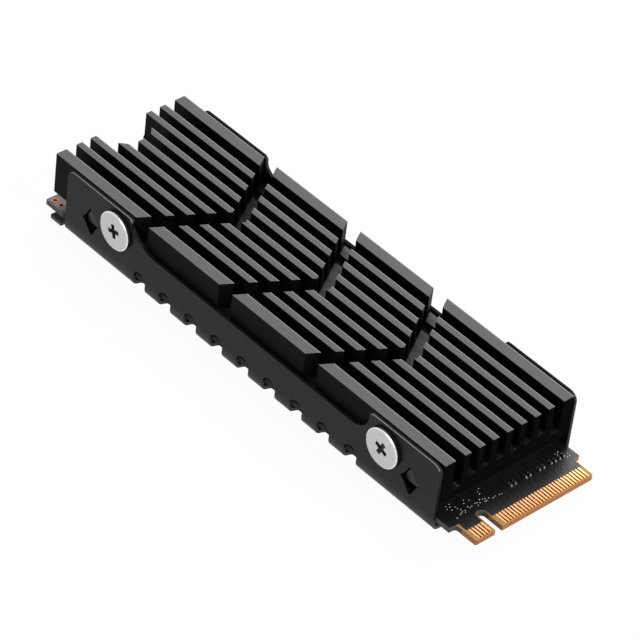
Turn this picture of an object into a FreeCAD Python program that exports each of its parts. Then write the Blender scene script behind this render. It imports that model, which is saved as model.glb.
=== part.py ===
import FreeCAD, Part
import math
import os

import Sketcher

# Solid state drive clamped in its heat sink
#
# A finned aluminium block lies over the drive's chips, a folded sheet tray holds the board from below,
# and four screws through the tray's ears draw the two together over a thermal pad on each side.
# X runs along the board from its mounting notch to its contacts, Y runs across it, Z points up.
# The origin is at the middle of the tray's underside, on the board's mid length.

SIZES = {
    # Board: card edge with 38 contact places, a key notch and a half-round mounting notch
    "board_length": 80.0,
    "board_thickness": 0.8,
    "contact_spacing": 0.5,
    "contact_width": 0.35,
    "contact_length": 1.85,
    "contact_setback": 0.15,
    "copper_thickness": 0.035,
    "tongue_margin": 0.675,
    "tongue_depth": 3.5,
    "tongue_corner": 0.25,
    "shoulder_round": 0.5,
    "shoulder_width": 1.075,
    "key_width": 1.2,
    "mount_radius": 1.75,
    "mount_land": 1.0,
    "via_radius": 0.3,
    "via_ring": 0.175,
    "via_inset": 0.78,
    "first_via": 0.87,
    "via_pitch": 1.25,
    # Tray: folded sheet with an ear at each end of both walls
    "sheet": 0.45,
    "bend_radius": 0.75,
    "board_play": 0.03,
    "clamp_start": 1.15,
    "clamp_end": 5.8,
    "wall_start": 3.3,
    "lip_length": 2.25,
    "lip_setback": 0.28,
    "lip_corner": 0.25,
    "relief_round": 0.3,
    "wall_height": 6.7,
    "ear_drop": 0.04,
    "ear_corner": 1.3,
    "ear_inner_corner": 0.65,
    "first_ear": 12.75,
    "last_ear": 12.5,
    "sweep_length": 4.9,
    "sweep_height": 2.7,
    "sweep_tight_radius": 1.3,
    "step_radius": 2.75,
    "bend_notch_pitch": 5.0,
    "bend_notch_margin": 2.0,
    "bend_notch_shift": -0.17,
    "bend_notch_radius": 1.2,
    "bend_notch_rise": 1.78,
    "bend_notch_reach": 0.83,
    # Pierced opening beside each screw: a four-pointed star whose upper forward quarter is left
    # standing as a tab, pushed in about the line between the star's top and forward tips
    "first_star": 8.3,
    "last_star": 4.65,
    "star_drop": 2.07,
    "star_up": 2.06,
    "star_lean": 0.34,
    "star_down": 1.9,
    "star_heel": 0.15,
    "star_back": 1.62,
    "star_ahead": 1.44,
    "star_ahead_rise": 0.03,
    "star_tip_radius": 0.27,
    "star_heel_radius": 0.42,
    "star_upper_bow": 14.0,
    "star_ahead_bow": 5.2,
    "tab_slit": 0.25,
    "tab_back": 0.98,
    "tab_back_rise": 0.39,
    "tab_low_back": 0.52,
    "tab_low_drop": 0.27,
    "tab_round": 0.6,
    "tab_clearance": 0.12,
    "tab_tilt": 9.8,
    # Thermal pads
    "lower_pad_thickness": 0.9,
    "upper_pad_thickness": 1.0,
    "pad_margin": 1.0,
    "part_headroom": 1.0,
    "pad_near_gap": 0.35,
    "pad_far_gap": 2.2,
    # Finned block
    "block_play": 0.2,
    "block_height": 6.14,
    "wide_fin": 1.7,
    "fin_thickness": 0.97,
    "fin_pitch": 2.34,
    "least_fin_gap": 0.9,
    "inner_floor": 2.28,
    "outer_floor": 1.35,
    "root_bevel": 0.3,
    "slot_shift": 1.675,
    "slot_pitch": 16.05,
    "slot_width": 2.45,
    "slot_angle": 30.0,
    "slot_bite": 0.05,
    "recess_half_width": 4.05,
    "recess_straight": 1.55,
    "recess_depth": 4.0,
    # Side screws
    "first_screw": 13.3,
    "last_screw": 9.45,
    "screw_rise": 2.7,
    "head_radius": 2.75,
    "head_height": 0.6,
    "head_bevel": 0.12,
    "shank_radius": 1.0,
    "shank_bite": 1.5,
    "thread_clearance": 0.02,
    "hole_clearance": 0.2,
    "cross_span": 1.9,
    "cross_width": 0.45,
    "cross_depth": 0.35,
    "first_turn": 15.0,
    "last_turn": -25.0,
    # Chips: along the board, across it and upwards
    "controller_side": 14.0,
    "controller_height": 1.2,
    "memory_length": 7.5,
    "memory_width": 12.0,
    "memory_height": 1.0,
    "flash_length": 12.0,
    "flash_width": 18.0,
    "flash_height": 1.3,
    "power_chip_side": 2.8,
    "power_chip_height": 0.75,
    "inductor_length": 2.4,
    "inductor_width": 2.0,
    "inductor_height": 1.0,
    "crystal_length": 3.2,
    "crystal_width": 2.0,
    "crystal_height": 0.7,
    "crystal_gap": 0.6,
    "bulk_length": 1.6,
    "bulk_width": 3.2,
    "bulk_height": 0.9,
    "switch_side": 2.0,
    "switch_height": 0.6,
    "capacitor_length": 1.0,
    "capacitor_width": 0.5,
    "capacitor_height": 0.5,
    "resistor_length": 1.0,
    "resistor_width": 0.5,
    "resistor_height": 0.35,
    "coupling_length": 0.6,
    "coupling_width": 0.3,
    "coupling_height": 0.3,
    "coupling_gap": 0.7,
    "coupling_setback": 4.65,
    # Material that a cut runs past the face it opens through
    "overrun": 1.0,
}

# Contact places along the edge, counted from the back, and those that carry a contact on each face
CONTACT_PLACES = 38
KEY_PLACE = 30.75
TOP_CONTACTS = [*range(0, 29), *range(33, 38)]
BOTTOM_CONTACTS = [*range(0, 29), *range(33, 37)]
# A contact on the lower face lies half a space aside of the one above it
LOWER_SHIFT = 0.5
# The contact places behind which the signal lanes' pairs of capacitors stand
LANE_PLACES = [0.7, 3.6, 7.6, 12.3, 17.3]
SLOT_COUNT = 3


class Spot:
    """Which point of a sketch's edge a dimension holds."""

    START = 1
    END = 2
    CENTRE = 3


class Size:
    """A length, angle or ratio: its number now, and the formula of named sizes that gives it."""

    def __init__(self, number, formula):
        self.number = float(number)
        self.formula = formula

    def combine(self, other, sign, compute):
        other = as_size(other)
        return Size(compute(self.number, other.number), f"({self.formula} {sign} {other.formula})")

    def __add__(self, other):
        return self.combine(other, "+", lambda a, b: a + b)

    def __sub__(self, other):
        return self.combine(other, "-", lambda a, b: a - b)

    def __mul__(self, other):
        return self.combine(other, "*", lambda a, b: a * b)

    def __truediv__(self, other):
        return self.combine(other, "/", lambda a, b: a / b)

    def __radd__(self, other):
        return as_size(other) + self

    def __rsub__(self, other):
        return as_size(other) - self

    def __rmul__(self, other):
        return as_size(other) * self

    def __neg__(self):
        return self * -1


def as_size(value):
    """A plain number as a size, and a size as it is."""
    if isinstance(value, Size):
        return value
    return Size(value, f"({value:.9g})")


def tangent(angle):
    """The tangent of an angle in degrees."""
    return Size(math.tan(math.radians(angle.number)), f"tan({angle.formula})")


class NamedSizes:
    """The sheet's cells as attributes."""

    def __init__(self, values):
        for name, value in values.items():
            setattr(self, name, Size(value, f"sizes.{name}"))


def fill_sheet(sheet, values):
    """One row for each size: its name, then its number under that name."""
    for row, (name, value) in enumerate(values.items(), start=1):
        sheet.set(f"A{row}", name)
        sheet.set(f"B{row}", str(value))
        sheet.setAlias(f"B{row}", name)


doc = FreeCAD.newDocument("ssd_heat_sink")
sheet = doc.addObject("Spreadsheet::Sheet", "sizes")
fill_sheet(sheet, SIZES)
doc.recompute()
dim = NamedSizes(SIZES)
ZERO = as_size(0)


# Outlines: a list of steps from point to point, straight or along an arc


class To:
    """A straight run to a point."""

    def __init__(self, u, v):
        self.u, self.v = as_size(u), as_size(v)


class Turn(To):
    """An arc of a given radius to a point, bending left or right on the way."""

    def __init__(self, u, v, radius, left=True):
        super().__init__(u, v)
        self.radius, self.left = as_size(radius), left


def corner(u, v, radius, before, after):
    """A right-angled corner rounded by an arc, between the directions before and after it."""
    left = before[0] * after[1] - before[1] * after[0] > 0
    return [
        To(u - radius * before[0], v - radius * before[1]),
        Turn(u + radius * after[0], v + radius * after[1], radius, left),
    ]


RIGHT, UP, LEFT, DOWN = (1, 0), (0, 1), (-1, 0), (0, -1)


def arc_between(start, end, radius, left):
    """The arc from start to end, of at most half a turn."""
    chord = end - start
    rise = math.sqrt(max(radius * radius - chord.Length**2 / 4, 0.0))
    normal = FreeCAD.Vector(-chord.y, chord.x, 0).normalize()
    centre = (start + end) / 2 + normal * (rise if left else -rise)
    outward = -1 if left else 1
    middle = centre + normal * (outward * radius)
    return Part.Arc(start, middle, end)


def draw(sketch, steps):
    """Draws a closed outline, with every corner and radius tied to its size."""
    points = [FreeCAD.Vector(step.u.number, step.v.number, 0) for step in steps]
    edges = []
    for index, step in enumerate(steps):
        start, end = points[index - 1], points[index]
        if isinstance(step, Turn):
            edges.append(arc_between(start, end, step.radius.number, step.left))
        else:
            edges.append(Part.LineSegment(start, end))
    first = sketch.GeometryCount
    sketch.addGeometry(edges)
    # An arc that bends right is stored from its end to its start
    backward = [isinstance(step, Turn) and not step.left for step in steps]
    joins, dimensions = [], []
    for index, step in enumerate(steps):
        following = (index + 1) % len(steps)
        edge, tip = first + index, Spot.START if backward[index] else Spot.END
        root = Spot.END if backward[following] else Spot.START
        joins.append(Sketcher.Constraint("Coincident", edge, tip, first + following, root))
        dimensions.append((step.u, "DistanceX", -1, Spot.START, edge, tip))
        dimensions.append((step.v, "DistanceY", -1, Spot.START, edge, tip))
        if isinstance(step, Turn) and not is_half_turn(points[index - 1], points[index], step):
            dimensions.append((step.radius, "Radius", edge))
    sketch.addConstraint(joins)
    tie(sketch, dimensions)


def is_half_turn(start, end, step):
    """Whether an arc's ends alone fix its radius."""
    return math.isclose((end - start).Length, 2 * step.radius.number)


def tie(sketch, dimensions):
    """Adds dimensions to a sketch and binds each to its formula."""
    first = sketch.ConstraintCount
    sketch.addConstraint(
        [Sketcher.Constraint(kind, *where, size.number) for size, kind, *where in dimensions]
    )
    for number, (size, *_) in enumerate(dimensions, start=first):
        sketch.setExpression(f"Constraints[{number}]", size.formula)


def draw_circle(sketch, u, v, radius):
    """Draws a circle with its centre and radius tied to their sizes."""
    centre = FreeCAD.Vector(u.number, v.number, 0)
    edge = sketch.addGeometry(Part.Circle(centre, FreeCAD.Vector(0, 0, 1), radius.number))
    across = (u, "DistanceX", -1, Spot.START, edge, Spot.CENTRE)
    upward = (v, "DistanceY", -1, Spot.START, edge, Spot.CENTRE)
    tie(sketch, [across, upward, (radius, "Radius", edge)])


# Features and primitives


def bind(item, **properties):
    """Sets properties of an object and ties them to their formulas."""
    for name, value in properties.items():
        value = as_size(value)
        setattr(item, name, value.number)
        item.setExpression(name, value.formula)


def place(item, x=ZERO, y=ZERO, z=ZERO, rotation=None):
    """Puts an object at a point given by sizes."""
    if rotation is not None:
        item.Placement = FreeCAD.Placement(FreeCAD.Vector(), rotation)
    for axis, value in zip("xyz", (x, y, z)):
        item.setExpression(f"Placement.Base.{axis}", as_size(value).formula)
    return item


def new_body(name):
    body = doc.addObject("PartDesign::Body", name)
    body.Label = name
    return body


def new_sketch(body, name, role, offset=ZERO):
    """A sketch on one of a body's own planes, moved along the plane's normal."""
    sketch = body.newObject("Sketcher::SketchObject", name)
    plane = [feature for feature in body.Origin.OriginFeatures if feature.Role == role][0]
    sketch.AttachmentSupport = [(plane, "")]
    sketch.MapMode = "FlatFace"
    sketch.AttachmentOffset = FreeCAD.Placement(
        FreeCAD.Vector(0, 0, offset.number), FreeCAD.Rotation()
    )
    sketch.setExpression("AttachmentOffset.Base.z", offset.formula)
    return sketch


def pad(body, name, sketch, length):
    feature = body.newObject("PartDesign::Pad", name)
    feature.Profile = sketch
    bind(feature, Length=length)
    return feature


def pocket(body, name, sketch, depth, reverse=False):
    feature = body.newObject("PartDesign::Pocket", name)
    feature.Profile = sketch
    feature.Reversed = reverse
    bind(feature, Length=depth)
    return feature


def pocket_across(body, name, sketch, span):
    """Cuts a sketch's outlines the same distance to both sides of its plane."""
    feature = pocket(body, name, sketch, span)
    feature.SideType = "Symmetric"
    return feature


def box(name, length, width, height, x=ZERO, y=ZERO, z=ZERO):
    """A box centred on x and y, standing on z."""
    item = doc.addObject("Part::Box", name)
    item.Label = name
    bind(item, Length=length, Width=width, Height=height)
    return place(item, x - as_size(length) / 2, y - as_size(width) / 2, z)


def cylinder(name, radius, height, x=ZERO, y=ZERO, z=ZERO):
    item = doc.addObject("Part::Cylinder", name)
    item.Label = name
    bind(item, Radius=radius, Height=height)
    return place(item, x, y, z)


def cut(name, base, tool):
    item = doc.addObject("Part::Cut", name)
    item.Label = name
    item.Base, item.Tool = base, tool
    return item


def group(name, pieces):
    """Several separate solids as one named piece."""
    item = doc.addObject("Part::Compound", name)
    item.Label = name
    item.Links = pieces
    return item


# Places shared by several pieces, measured from the board's mounting end or the tray's underside

board_half_width = dim.contact_spacing * ((CONTACT_PLACES - 1) / 2) + dim.tongue_margin + dim.shoulder_width
tongue_half_width = board_half_width - dim.shoulder_width
board_start = -dim.board_length / 2
board_base = dim.sheet + dim.lower_pad_thickness
board_top = board_base + dim.board_thickness
clamp_origin = board_start + dim.clamp_start
clamp_length = dim.board_length - dim.clamp_start - dim.clamp_end
tray_inner_half = board_half_width + dim.board_play
tray_outer_half = tray_inner_half + dim.sheet
outer_bend = dim.bend_radius + dim.sheet
tray_flat_half = tray_outer_half - outer_bend
block_half_width = board_half_width - dim.block_play
block_base = board_top + dim.part_headroom + dim.upper_pad_thickness
ear_top = block_base + dim.block_height - dim.ear_drop
pad_start = dim.recess_depth + dim.pad_near_gap
pad_length = clamp_length - dim.pad_far_gap - pad_start
pad_half_width = board_half_width - dim.pad_margin
screw_height = block_base + dim.screw_rise
screw_places = (dim.first_screw, clamp_length - dim.last_screw)
star_places = (dim.first_star, clamp_length - dim.last_star)
first_ear_end = dim.wall_start + dim.first_ear
last_ear_start = clamp_length - dim.last_ear


def contact_row(index):
    """The place across the board of a numbered contact."""
    return dim.contact_spacing * ((CONTACT_PLACES - 1) / 2 - index)


def recess_outline():
    """The notch at the mounting end that clears the drive's own screw, open to the end."""
    mouth, depth = dim.recess_half_width, dim.recess_depth
    flat = mouth - (depth - dim.recess_straight)
    return [
        To(-dim.overrun, -mouth),
        To(dim.recess_straight, -mouth),
        To(depth, -flat),
        To(depth, flat),
        To(dim.recess_straight, mouth),
        To(-dim.overrun, mouth),
    ]


# Finned block: one extrusion, then the slots, the notch and the tapped holes


def gap_edges():
    """Both sides and the floor of each gap between fins, from the front to the back."""
    half_fin = dim.fin_thickness / 2
    inner_wall = block_half_width - dim.wide_fin
    room = inner_wall - half_fin - dim.least_fin_gap
    fins_each_side = int(room.number / dim.fin_pitch.number)
    thin = [dim.fin_pitch * index for index in range(-fins_each_side, fins_each_side + 1)]
    gaps = [(-inner_wall, thin[0] - half_fin, dim.outer_floor)]
    for left, right in zip(thin, thin[1:]):
        gaps.append((left + half_fin, right - half_fin, dim.inner_floor))
    gaps.append((thin[-1] + half_fin, inner_wall, dim.outer_floor))
    return gaps


def make_heatsink_block():
    body = new_body("heatsink_block")
    width, height = block_half_width, dim.block_height
    section = new_sketch(body, "block_section", "YZ_Plane")
    draw(section, [To(-width, ZERO), To(width, ZERO), To(width, height), To(-width, height)])
    pad(body, "block_bar", section, clamp_length)

    gaps = new_sketch(body, "fin_gaps", "YZ_Plane")
    top = height + dim.overrun
    for left, right, floor in gap_edges():
        draw(
            gaps,
            [
                To(left, top),
                To(left, floor + dim.root_bevel),
                To(left + dim.root_bevel, floor),
                To(right - dim.root_bevel, floor),
                To(right, floor + dim.root_bevel),
                To(right, top),
            ],
        )
    pocket(body, "fins", gaps, clamp_length, reverse=True)

    chevrons = new_sketch(body, "slot_outlines", "XY_Plane", height)
    reach = width + dim.overrun
    lean = reach * tangent(dim.slot_angle)
    middle = clamp_length / 2 + dim.slot_shift
    for index in range(SLOT_COUNT):
        apex = middle + dim.slot_pitch * (index - (SLOT_COUNT - 1) / 2)
        draw(
            chevrons,
            [
                To(apex, ZERO),
                To(apex - lean, -reach),
                To(apex - lean + dim.slot_width, -reach),
                To(apex + dim.slot_width, ZERO),
                To(apex - lean + dim.slot_width, reach),
                To(apex - lean, reach),
            ],
        )
    pocket(body, "chevron_slots", chevrons, height - dim.inner_floor + dim.slot_bite)

    recess = new_sketch(body, "recess_outline", "XY_Plane", height)
    draw(recess, recess_outline())
    pocket(body, "screw_recess", recess, height + dim.overrun)

    hole_radius = dim.shank_radius + dim.thread_clearance
    depth = dim.wide_fin + dim.fin_thickness / 2
    for side, offset in (("front", width), ("back", -width)):
        holes = new_sketch(body, f"{side}_holes", "XZ_Plane", offset)
        for along in screw_places:
            draw_circle(holes, along, dim.screw_rise, hole_radius)
        pocket(body, f"{side}_tapped_holes", holes, depth, reverse=side == "back")
    return place(body, clamp_origin, ZERO, block_base)


# Folded tray: a channel, the lip of its floor, then everything cut from the flat sheet


def tray_section():
    """The channel's section, with walls that run past the ears' tops."""
    top = ear_top + dim.overrun
    outer, inner, sheet = tray_outer_half, tray_inner_half, dim.sheet
    return [
        To(-outer, top),
        *corner(-outer, ZERO, outer_bend, DOWN, RIGHT),
        *corner(outer, ZERO, outer_bend, RIGHT, UP),
        To(outer, top),
        To(inner, top),
        *corner(inner, sheet, dim.bend_radius, DOWN, LEFT),
        *corner(-inner, sheet, dim.bend_radius, LEFT, UP),
        To(-inner, top),
    ]


def lip_outline():
    """The floor's flat end, which sticks out past the walls beyond a relief at each bend."""
    half = tray_outer_half - dim.lip_setback
    root = dim.wall_start + dim.overrun
    return [
        To(root, -tray_flat_half),
        To(root, tray_flat_half),
        *corner(dim.lip_length, tray_flat_half, dim.relief_round, LEFT, UP),
        To(dim.lip_length, half),
        *corner(ZERO, half, dim.lip_corner, LEFT, DOWN),
        *corner(ZERO, -half, dim.lip_corner, DOWN, RIGHT),
        To(dim.lip_length, -half),
        *corner(dim.lip_length, -tray_flat_half, dim.relief_round, UP, RIGHT),
    ]


def wall_trim_outline():
    """What is cut away above the walls: round ear corners, a sweep down, a low run and a step up."""
    first_end, last_start = first_ear_end, last_ear_start
    low, tight = dim.wall_height, dim.sweep_tight_radius
    length, fall = dim.sweep_length - tight, dim.sweep_height
    wide = (length * length + fall * fall - tight * tight) / (2 * (fall - tight))
    along, down = length / (wide - tight), (wide - fall) / (wide - tight)
    sweep_top = low + fall
    inner, outer = dim.ear_inner_corner, dim.ear_corner
    above = ear_top + 2 * dim.overrun
    return [
        To(dim.wall_start - dim.overrun, above),
        To(dim.wall_start - dim.overrun, ear_top - outer),
        To(dim.wall_start, ear_top - outer),
        Turn(dim.wall_start + outer, ear_top, outer, left=False),
        *corner(first_end, ear_top, inner, RIGHT, DOWN),
        To(first_end, sweep_top),
        Turn(first_end + tight * (1 - along), sweep_top - tight * down, tight),
        Turn(first_end + dim.sweep_length, low, wide),
        To(last_start - dim.step_radius, low),
        Turn(last_start, low + dim.step_radius, dim.step_radius),
        *corner(last_start, ear_top, inner, UP, RIGHT),
        To(clamp_length - outer, ear_top),
        Turn(clamp_length, ear_top - outer, outer, left=False),
        To(clamp_length + dim.overrun, ear_top - outer),
        To(clamp_length + dim.overrun, above),
    ]


def star_points(along):
    """The tips of the pierced star at a place along the wall, and the corners of its tab."""
    height = screw_height - dim.star_drop
    top = (along - dim.star_lean, height + dim.star_up)
    return {
        "top": top,
        "back": (along - dim.star_back, height),
        "bottom": (along + dim.star_heel, height - dim.star_down),
        "ahead": (along + dim.star_ahead, height + dim.star_ahead_rise),
        "tab_top": (top[0] + dim.tab_slit, top[1] - dim.tab_slit / 3),
        "tab_back": (along - dim.tab_back, height + dim.tab_back_rise),
        "tab_low": (along - dim.tab_low_back, height - dim.tab_low_drop),
    }


def star_outline(along):
    """The opening: the whole star but for its tab, with a slit between the two at the upper back."""
    tip = star_points(along)
    round_tip, heel = dim.star_tip_radius, dim.star_heel_radius
    back, bottom = tip["back"], tip["bottom"]
    return [
        To(*tip["top"]),
        Turn(back[0] + round_tip, back[1] + round_tip, dim.star_upper_bow, left=False),
        Turn(back[0] + round_tip, back[1] - round_tip, round_tip),
        To(bottom[0] - heel, bottom[1] + heel),
        Turn(bottom[0] + heel, bottom[1] + heel, heel),
        Turn(*tip["ahead"], dim.star_ahead_bow, left=False),
        To(*tip["tab_low"]),
        Turn(*tip["tab_back"], dim.tab_round, left=False),
        To(*tip["tab_top"]),
    ]


def tilt_about_fold(sketch, tip, sign):
    """Lays a sketch's origin on the tab's upper corner and tips its plane about the fold line."""
    top, ahead = tip["tab_top"], tip["ahead"]
    fold = (ahead[0] - top[0], ahead[1] - top[1])
    angle = dim.tab_tilt * sign
    axis = FreeCAD.Vector(fold[0].number, fold[1].number, 0)
    sketch.AttachmentOffset.Rotation = FreeCAD.Rotation(axis, angle.number)
    for part, size in (
        ("Base.x", top[0]),
        ("Base.y", top[1]),
        ("Rotation.Axis.x", fold[0]),
        ("Rotation.Axis.y", fold[1]),
        ("Rotation.Angle", angle),
    ):
        sketch.setExpression(f"AttachmentOffset.{part}", size.formula)


def push_in_tab(body, name, along, offset, front):
    """Cuts a tab's outer face back to a plane that falls away from the fold line."""
    tip = star_points(along)
    top, low, back, ahead = tip["tab_top"], tip["tab_low"], tip["tab_back"], tip["ahead"]
    clear = dim.tab_clearance
    sketch = new_sketch(body, f"{name}_face", "XZ_Plane", offset)
    tilt_about_fold(sketch, tip, 1 if front else -1)
    draw(
        sketch,
        [
            To(ZERO, ZERO),
            To(back[0] - clear - top[0], back[1] - clear - top[1]),
            To(low[0] - 2 * clear - top[0], low[1] - 2 * clear - top[1]),
            To(ahead[0] - top[0], ahead[1] - top[1]),
        ],
    )
    pocket(body, name, sketch, dim.sheet, reverse=front)


def make_bottom_tray():
    body = new_body("bottom_tray")
    section = new_sketch(body, "tray_section", "YZ_Plane", dim.wall_start)
    draw(section, tray_section())
    pad(body, "channel", section, clamp_length - dim.wall_start)
    floor = new_sketch(body, "lip_outline", "XY_Plane")
    draw(floor, lip_outline())
    pad(body, "lip", floor, dim.sheet)

    trim = new_sketch(body, "wall_trim", "XZ_Plane")
    draw(trim, wall_trim_outline())
    across = 2 * (tray_outer_half + dim.overrun)
    pocket_across(body, "ears", trim, across)

    holes = new_sketch(body, "wall_openings", "XZ_Plane")
    for screw in screw_places:
        draw_circle(holes, screw, screw_height, dim.shank_radius + dim.hole_clearance)
    for along in star_places:
        draw(holes, star_outline(along))
    pocket_across(body, "screw_and_star_openings", holes, across)

    for end, along in zip(("first", "last"), star_places):
        push_in_tab(body, f"{end}_front_tab", along, tray_outer_half, front=True)
        push_in_tab(body, f"{end}_back_tab", along, -tray_outer_half, front=False)

    arches = new_sketch(body, "notch_arches", "XZ_Plane")
    mouths = new_sketch(body, "notch_mouths", "XY_Plane", outer_bend)
    radius = dim.bend_notch_radius
    sill = outer_bend - dim.sheet / 2
    reach = tray_outer_half - dim.bend_notch_reach
    beyond = tray_outer_half + dim.overrun
    low_run = last_ear_start - first_ear_end - 2 * dim.bend_notch_margin
    count = int(low_run.number / dim.bend_notch_pitch.number) + 1
    centre = (first_ear_end + last_ear_start) / 2 + dim.bend_notch_shift
    for index in range(count):
        middle = centre + dim.bend_notch_pitch * (index - (count - 1) / 2)
        draw(
            arches,
            [
                To(middle - radius, sill),
                To(middle + radius, sill),
                To(middle + radius, dim.bend_notch_rise),
                Turn(middle - radius, dim.bend_notch_rise, radius),
            ],
        )
        for side in (-1, 1):
            draw(
                mouths,
                [
                    To(middle - radius, beyond * side),
                    To(middle - radius, reach * side),
                    Turn(middle + radius, reach * side, radius, left=side > 0),
                    To(middle + radius, beyond * side),
                ],
            )
    pocket_across(body, "bend_notches_in_walls", arches, across)
    pocket(body, "bend_notches_in_floor", mouths, outer_bend + dim.overrun)

    recess = new_sketch(body, "floor_recess_outline", "XY_Plane", dim.sheet)
    draw(recess, recess_outline())
    pocket(body, "floor_recess", recess, dim.sheet + dim.overrun)
    return place(body, clamp_origin)


# Side screws: flat wafer heads with a bevelled rim and a cross recess


def make_screw(name, turn):
    """One screw: head up along its own Z, bearing face at zero, cross recess turned about the axis."""
    body = new_body(name)
    reach = dim.sheet + dim.board_play + dim.block_play + dim.shank_bite
    head, top = dim.head_radius, dim.head_height
    profile = new_sketch(body, f"{name}_profile", "XZ_Plane")
    draw(
        profile,
        [
            To(ZERO, -reach),
            To(dim.shank_radius, -reach),
            To(dim.shank_radius, ZERO),
            To(head, ZERO),
            To(head, top - dim.head_bevel),
            To(head - dim.head_bevel, top),
            To(ZERO, top),
        ],
    )
    turned = body.newObject("PartDesign::Revolution", f"{name}_turned")
    turned.Profile = profile
    turned.ReferenceAxis = (profile, ["V_Axis"])
    turned.Angle = 360.0

    cross = new_sketch(body, f"{name}_cross", "XY_Plane", top)
    cross.AttachmentOffset.Rotation = FreeCAD.Rotation(FreeCAD.Vector(0, 0, 1), turn.number)
    cross.setExpression("AttachmentOffset.Rotation.Angle", turn.formula)
    arm, half = dim.cross_span / 2, dim.cross_width / 2
    draw(
        cross,
        [
            To(arm, -half),
            To(arm, half),
            To(half, half),
            To(half, arm),
            To(-half, arm),
            To(-half, half),
            To(-arm, half),
            To(-arm, -half),
            To(-half, -half),
            To(-half, -arm),
            To(half, -arm),
            To(half, -half),
        ],
    )
    pocket(body, f"{name}_recess", cross, dim.cross_depth)
    return body


def make_side_screws():
    screws = []
    for side, sign in (("front", -1), ("back", 1)):
        facing = FreeCAD.Rotation(FreeCAD.Vector(1, 0, 0), -90 * sign)
        ends = zip(("first", "last"), screw_places, (dim.first_turn, dim.last_turn))
        for end, along, turn in ends:
            screw = make_screw(f"{side}_{end}_screw", turn)
            place(screw, clamp_origin + along, tray_outer_half * sign, screw_height, facing)
            screws.append(screw)
    return group("side_screws", screws)


# Circuit board and its copper


def make_circuit_board():
    body = new_body("circuit_board")
    outline = new_sketch(body, "board_outline", "XY_Plane")
    edge, width, tongue = dim.board_length, board_half_width, tongue_half_width
    shoulder, inner, outer = edge - dim.tongue_depth, dim.shoulder_round, dim.tongue_corner
    key_middle = dim.contact_spacing * ((CONTACT_PLACES - 1) / 2 - KEY_PLACE)
    key_half = dim.key_width / 2
    key_round_start = shoulder + key_half
    draw(
        outline,
        [
            To(ZERO, -width),
            To(shoulder, -width),
            *corner(shoulder, -tongue, inner, UP, RIGHT),
            *corner(edge, -tongue, outer, RIGHT, UP),
            To(edge, key_middle - key_half),
            To(key_round_start, key_middle - key_half),
            Turn(key_round_start, key_middle + key_half, key_half, left=False),
            To(edge, key_middle + key_half),
            *corner(edge, tongue, outer, UP, LEFT),
            *corner(shoulder, tongue, inner, LEFT, UP),
            To(shoulder, width),
            To(ZERO, width),
            To(ZERO, dim.mount_radius),
            Turn(ZERO, -dim.mount_radius, dim.mount_radius, left=False),
        ],
    )
    pad(body, "board_sheet", outline, dim.board_thickness)
    vias = new_sketch(body, "via_holes", "XY_Plane", dim.board_thickness)
    for x, y in via_places():
        draw_circle(vias, x, y, dim.via_radius)
    pocket(body, "vias", vias, dim.board_thickness + dim.overrun)
    return place(body, board_start, ZERO, board_base)


def via_places():
    """The two ringed holes at the mounting end's front corner."""
    across = dim.via_inset - board_half_width
    return [(dim.first_via, across), (dim.first_via + dim.via_pitch, across)]


def make_contacts(name, places, shift, height):
    """A row of gold contacts along the board's edge."""
    along = dim.board_length - dim.contact_setback - dim.contact_length / 2
    pieces = []
    for index in places:
        across = contact_row(index) - dim.contact_spacing * shift
        item = box(
            f"{name}_{index:02d}",
            dim.contact_length,
            dim.contact_width,
            dim.copper_thickness,
            along,
            across,
        )
        pieces.append(item)
    return place(group(name, pieces), board_start, ZERO, height)


def make_mounting_pads():
    """Plated half rings round the mounting notch, on both faces."""
    rings = []
    for side, height in (("upper", board_top), ("lower", board_base - dim.copper_thickness)):
        disc = cylinder(f"{side}_land", dim.mount_radius + dim.mount_land, dim.copper_thickness)
        disc.Angle = 180.0
        place(disc, ZERO, ZERO, height, FreeCAD.Rotation(FreeCAD.Vector(0, 0, 1), -90))
        hole = cylinder(
            f"{side}_land_hole",
            dim.mount_radius,
            dim.copper_thickness + 2 * dim.overrun,
            z=height - dim.overrun,
        )
        rings.append(cut(f"{side}_half_ring", disc, hole))
    return place(group("mounting_pads", rings), board_start)


def make_corner_test_pads():
    """Copper rings round the two corner holes."""
    rings = []
    for index, (x, y) in enumerate(via_places()):
        disc = cylinder(f"ring_{index}", dim.via_radius + dim.via_ring, dim.copper_thickness, x, y)
        hole = cylinder(
            f"ring_hole_{index}",
            dim.via_radius,
            dim.copper_thickness + 2 * dim.overrun,
            x,
            y,
            -dim.overrun,
        )
        rings.append(cut(f"ring_with_hole_{index}", disc, hole))
    return place(group("corner_test_pads", rings), board_start, ZERO, board_top)


# Chips, with x from the mounting end and y from the board's middle


def spread(start, room, lengths):
    """Middles of pieces in line with even gaps between them and at both ends of the room."""
    gap = room
    for length in lengths:
        gap = gap - length
    gap = gap / (len(lengths) + 1)
    middles = []
    for length in lengths:
        middles.append(start + gap + length / 2)
        start = start + gap + length
    return middles


def row_of_boxes(name, size, places):
    """Like parts at a list of places on the board, as one named piece."""
    length, width, height = size
    pieces = [
        box(f"{name}_{index:02d}", length, width, height, x, y)
        for index, (x, y) in enumerate(places)
    ]
    return place(group(name, pieces), board_start, ZERO, board_top)


def across(width, count):
    """Places across the board for parts of one width, evenly spaced under the pad."""
    return spread(-pad_half_width, 2 * pad_half_width, [width] * count)


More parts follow.
